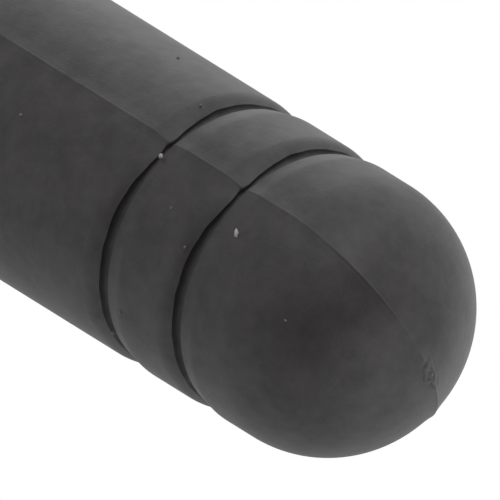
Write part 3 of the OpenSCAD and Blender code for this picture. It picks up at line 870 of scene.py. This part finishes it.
class ANTENNA_OT_hinge_finish(bpy.types.Operator):
    """Gives the hinge's two halves and its pins their finishes"""

    bl_idname = "antenna.hinge_finish"
    bl_label = "Finish the hinge"

    def execute(self, context):
        plastic = moulded_finish("hinge_plastic", context.scene.antenna_hinge.plastic)
        for node in ("upper_knuckle", "lower_knuckle"):
            dress(node, plastic)
        pins = turned_metal("pin_brass", context.scene.antenna_plug.brass, 0.24)
        for node in ("pivot_pin_left", "pivot_pin_right"):
            dress(node, pins)
        return {"FINISHED"}


class ANTENNA_OT_dipole_finish(bpy.types.Operator):
    """Gives the dipole inside the sheath its finishes"""

    bl_idname = "antenna.dipole_finish"
    bl_label = "Finish the dipole"

    def execute(self, context):
        plug, cable = context.scene.antenna_plug, context.scene.antenna_cable
        tube_brass = turned_metal("tube_brass", plug.brass, 0.3)
        for node in ("dipole_sleeve", "upper_radiator"):
            dress(node, tube_brass)
        dress("sleeve_solder", turned_metal("solder", plug.tin, 0.28))
        dress("heat_shrink", moulded_finish("shrink_sleeve", cable.jacket, 0.3))
        dress("tip_spacer", foam_finish("foam_white", cable.dielectric))
        return {"FINISHED"}


def sheath_surface(settings, height):
    """The sheath's outer radius at a height, without the grooves."""
    foot, base = dome_size(settings)
    if height < foot:
        return sheath_radius(settings, height)
    return base * math.sqrt(max(0, 1 - ((height - foot) / settings.dome_height) ** 2))


def flake(settings, angle, height, long, wide, turn, seed):
    """A flake of dust on the sheath: a flat mound with an uneven outline, its underside just below the surface.

    The mound's rings are ovals whose reach varies at random, laid in the plane that touches the sheath there.
    """
    step = 0.01 * MM
    radius = sheath_surface(settings, height)
    slope = np.array([radius - sheath_surface(settings, height - step), step])
    slope /= np.hypot(*slope)
    away = np.array([math.cos(angle), math.sin(angle), 0])
    normal = slope[1] * away + np.array([0, 0, -slope[0]])
    upward = slope[0] * away + np.array([0, 0, slope[1]])
    sideways = np.cross(normal, upward)
    along = math.cos(turn) * upward - math.sin(turn) * sideways
    across = np.cross(normal, along)
    bearing = turns(12)
    reach = 0.5 * (1 + 0.3 * np.random.default_rng(seed).uniform(-1, 1, len(bearing)))
    out = np.array([0.0, 0.9, 1.0, 0.75, 0.4, 0.0])[:, None] * reach
    lift = np.array([-0.2, -0.2, 0.1, 0.4, 0.55, 0.6]) * wide
    points = radius * away + np.array([0, 0, height]) + normal * lift[:, None, None]
    lengthwise, crosswise = out * np.cos(bearing) * long, out * np.sin(bearing) * wide
    return points + lengthwise[..., None] * along + crosswise[..., None] * across


class ANTENNA_OT_dust(bpy.types.Operator):
    """Puts the few specks of dust, and the pale fleck on the gate mark, on the sheath"""

    bl_idname = "antenna.dust"
    bl_label = "Add the dust"

    def execute(self, context):
        settings = context.scene.antenna_sheath
        hundredth = 0.01 * MM
        parts = [
            grid_faces(flake(settings, math.radians(angle), height * MM, long * hundredth, wide * hundredth,
                             math.radians(turn), seed))
            for seed, (angle, height, long, wide, turn) in enumerate(FLAKES)
        ]
        dust = mesh_object("sheath_dust", *parts)
        for name, rgb in (("pale_lint", settings.lint), ("grey_dust", settings.dust)):
            made, _, shader = material(name)
            shader.inputs["Base Color"].default_value = (*rgb, 1.0)
            shader.inputs["Roughness"].default_value = 0.9
            dust.data.materials.append(made)
        slots = [0 if seed < LINT_FLAKES else 1 for seed in range(len(parts))]
        kinds = np.repeat(slots, [len(part[2]) for part in parts])
        dust.data.polygons.foreach_set("material_index", kinds.astype(np.int32))
        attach(dust, "whip")
        return {"FINISHED"}


class ANTENNA_OT_stage(bpy.types.Operator):
    """Sets up the camera, the soft lamps, the dark card, the even white surround and the floor"""

    bl_idname = "antenna.stage"
    bl_label = "Set the stage"

    def execute(self, context):
        settings = context.scene.antenna_stage
        right, down, forward = view_axes(settings)
        aimed = Vector((0, 0, groove_heights(context.scene.antenna_sheath)[1]))
        self.camera(context, settings, aimed, right, down, forward)
        self.world(context, settings)
        self.floor(settings)
        for name, (rightward, upward, nearer, radiance, share) in LAMPS.items():
            way = (rightward * right - upward * down - nearer * forward).normalized()
            away = settings.lamp_distance * share
            soft_lamp(name, aimed + away * way, aimed, away * settings.lamp_size, settings.lamp_level * radiance)
        self.card(settings, aimed, right, down, forward)
        context.scene.view_settings.view_transform = "Standard"
        return {"FINISHED"}

    def camera(self, context, settings, aimed, right, down, forward):
        """Camera whose picture has the upper groove's middle at the aimed pixel, with no shift."""
        data = bpy.data.cameras.new("camera")
        data.lens, data.sensor_width = settings.lens, SENSOR_WIDTH
        data.clip_start, data.clip_end = 0.01, 10.0
        thing = bpy.data.objects.new("camera", data)
        context.scene.collection.objects.link(thing)
        pixel = settings.distance * SENSOR_WIDTH / settings.lens / PICTURE_SIDE
        aside, below = (aim - 0.5 * PICTURE_SIDE for aim in settings.aim)
        offset = right * aside * pixel + down * below * pixel
        turn = Matrix((right, -down, -forward)).transposed().to_4x4()
        thing.matrix_world = Matrix.Translation(aimed - forward * settings.distance - offset) @ turn
        context.scene.camera = thing

    def world(self, context, settings):
        """Even light, with plain white where the camera, gloss or glass looks past the object."""
        world = bpy.data.worlds.new("surround")
        context.scene.world = world
        world.use_nodes = True
        tree = world.node_tree
        tree.nodes.clear()
        even = add(tree, "ShaderNodeBackground", {"Color": (1, 1, 1), "Strength": settings.world_level})
        white = add(tree, "ShaderNodeBackground", {"Color": (1, 1, 1), "Strength": 1.0})
        mixed = add(tree, "ShaderNodeMixShader", {0: seen_directly(tree), 1: even.outputs[0], 2: white.outputs[0]})
        add(tree, "ShaderNodeOutputWorld", {"Surface": mixed.outputs[0]})

    def card(self, settings, aimed, right, down, forward):
        """Dark card behind the camera, as the photographer's side of a white room is."""
        half = 0.5 * settings.card_size
        centre = aimed - settings.card_distance * forward
        corners = [centre + half * (x * right + y * down) for x, y in ((-1, 1), (1, 1), (1, -1), (-1, -1))]
        mesh = bpy.data.meshes.new("dark_card")
        mesh.from_pydata([tuple(corner) for corner in corners], [], [(0, 1, 2, 3)])
        made, _, shader = material("dark_cloth")
        shader.inputs["Base Color"].default_value = (*settings.card, 1.0)
        shader.inputs["Roughness"].default_value = 1.0
        shader.inputs["Specular IOR Level"].default_value = 0.0
        mesh.materials.append(made)
        card = bpy.data.objects.new("dark_card", mesh)
        card.visible_camera = False
        bpy.context.scene.collection.objects.link(card)

    def floor(self, settings):
        """Round pale floor under the nut, which fades out into the white surround and is clear from below."""
        radii = np.array(FLOOR_RINGS)
        floor = revolve("floor", radii, np.full(len(radii), nut_low.z - settings.floor_gap), turns(96))
        made, tree, shader = material("pale_floor")
        place = add(tree, "ShaderNodeTexCoord").outputs["Object"]
        far = add(tree, "ShaderNodeVectorMath", {0: place}, operation="LENGTH").outputs["Value"]
        under = add(tree, "ShaderNodeNewGeometry").outputs["Backfacing"]
        faded = remap(tree, far, settings.fade_start, settings.fade_end, 0.0, 1.0, True)
        gone = add(tree, "ShaderNodeMath", {0: faded, 1: under}, operation="MAXIMUM").outputs[0]
        shader.inputs["Base Color"].default_value = (*settings.floor, 1.0)
        shader.inputs["Roughness"].default_value = 0.9
        shader.inputs["Emission Color"].default_value = (1.0, 1.0, 1.0, 1.0)
        put(tree, shader.inputs["Emission Strength"], remap(tree, seen_directly(tree), 0.0, 1.0, 0.0, settings.glow))
        clear = add(tree, "ShaderNodeBsdfTransparent")
        mixed = add(tree, "ShaderNodeMixShader", {0: gone, 1: shader.outputs[0], 2: clear.outputs[0]})
        put(tree, tree.nodes["Material Output"].inputs["Surface"], mixed.outputs[0])
        floor.data.materials.append(made)


def seen_directly(tree):
    """1 for the rays by which the camera, gloss or glass sees a surface, and 0 for the light that it casts."""
    path = add(tree, "ShaderNodeLightPath").outputs
    seen = add(tree, "ShaderNodeMath", {0: path["Is Camera Ray"], 1: path["Is Glossy Ray"]}, operation="MAXIMUM")
    return add(
        tree, "ShaderNodeMath", {0: seen.outputs[0], 1: path["Is Transmission Ray"]}, operation="MAXIMUM"
    ).outputs[0]


def view_axes(settings):
    """The picture's right, its down and the view's direction in the CAD frame.

    The view leans from Z by the off-axis angle, on the side that the azimuth gives. In the picture Z slopes down to
    the right by the roll.
    """
    lean, roll = settings.off_axis, settings.roll
    near = Vector((math.cos(settings.azimuth), math.sin(settings.azimuth), 0))
    side = Vector((0, 0, 1)).cross(near)
    forward = -(math.sin(lean) * near + math.cos(lean) * Vector((0, 0, 1)))
    along = math.sin(lean) * Vector((0, 0, 1)) - math.cos(lean) * near
    right = math.cos(roll) * along - math.sin(roll) * side
    down = math.sin(roll) * along + math.cos(roll) * side
    return right, down, forward


def soft_lamp(name, place, target, side, radiance):
    """Square soft lamp of that side and radiance, aimed at the target.

    Its power is pi times its area times its radiance.
    """
    data = bpy.data.lights.new(name, "AREA")
    data.shape, data.size = "SQUARE", side
    data.energy = math.pi * side * side * radiance
    lamp = bpy.data.objects.new(name, data)
    lamp.matrix_world = Matrix.Translation(place) @ (target - place).to_track_quat("-Z", "Y").to_matrix().to_4x4()
    lamp.visible_camera = False
    bpy.context.scene.collection.objects.link(lamp)


class ANTENNA_PT_panel(bpy.types.Panel):
    """Sidebar panel with the antenna's settings and steps"""

    bl_idname = "ANTENNA_PT_panel"
    bl_label = "Wifi Antenna"
    bl_space_type = "VIEW_3D"
    bl_region_type = "UI"
    bl_category = "Antenna"

    def draw(self, context):
        for step in STEPS:
            self.layout.operator(step.bl_idname)
        for name, group in SETTINGS.items():
            box = self.layout.box()
            box.label(text=group.__doc__)
            for key in group.__annotations__:
                box.prop(getattr(context.scene, name), key)


STEPS = (
    ANTENNA_OT_stage,
    ANTENNA_OT_sheath,
    ANTENNA_OT_dust,
    ANTENNA_OT_cable,
    ANTENNA_OT_thread,
    ANTENNA_OT_plug_finish,
    ANTENNA_OT_hinge_finish,
    ANTENNA_OT_dipole_finish,
)


def register():
    """Registers the settings, the steps and the panel."""
    for name, group in SETTINGS.items():
        bpy.utils.register_class(group)
        setattr(bpy.types.Scene, name, bpy.props.PointerProperty(type=group))
    for step in (*STEPS, ANTENNA_PT_panel):
        bpy.utils.register_class(step)


def unregister():
    """Takes them out again."""
    for step in reversed((*STEPS, ANTENNA_PT_panel)):
        bpy.utils.unregister_class(step)
    for name, group in SETTINGS.items():
        delattr(bpy.types.Scene, name)
        bpy.utils.unregister_class(group)


def main():
    """Registers the settings, the steps and the panel, and runs each step."""
    register()
    for step in STEPS:
        area, name = step.bl_idname.split(".")
        getattr(getattr(bpy.ops, area), name)()


if __name__ == "__main__":
    main()
